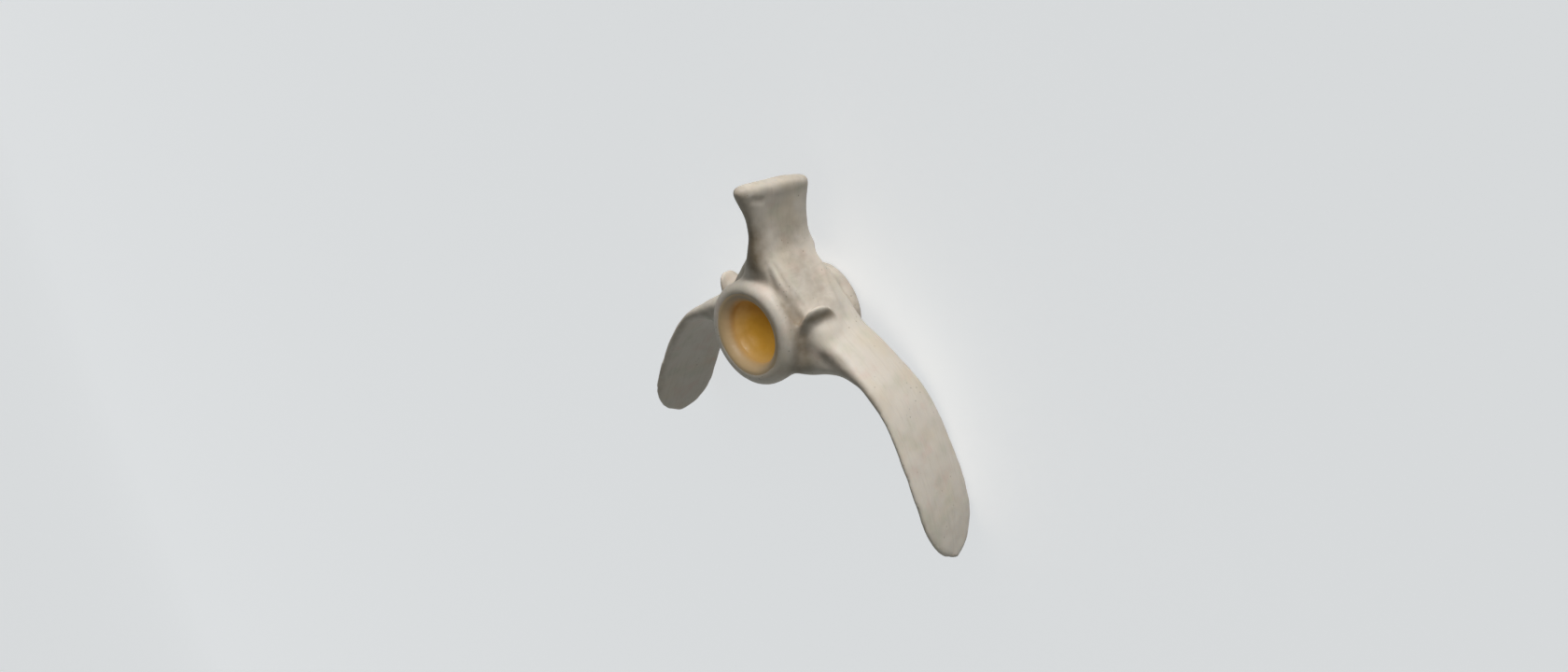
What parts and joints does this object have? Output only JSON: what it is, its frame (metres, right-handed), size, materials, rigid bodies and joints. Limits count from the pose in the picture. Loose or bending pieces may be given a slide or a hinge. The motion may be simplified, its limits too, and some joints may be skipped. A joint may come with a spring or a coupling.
{
  "type": "pig lumbar vertebra",
  "caption": "Lumbar vertebra of a grown pig: dished round body, arch, tall spinous plate and long drooping transverse processes, lying on its tail end.",
  "frame": {"origin": "bottom centre of the whole bone's box, on the floor that it lies on", "axes": "+X to the animal's left, +Y to its back (the spinous process), +Z to its head, nearly along the body's axis"},
  "size_m": [0.1392, 0.1134, 0.0391],
  "materials": {
    "bone": "clean dry bone, smooth with fine pores, warm ivory grey",
    "dried_disc": "thin dried disc tissue, amber yellow, faintly glossy"
  },
  "bodies": {
    "root": {"vertebra": "bone", "disc_lining_head": "dried_disc", "disc_lining_tail": "dried_disc"}
  },
  "joints": []
}
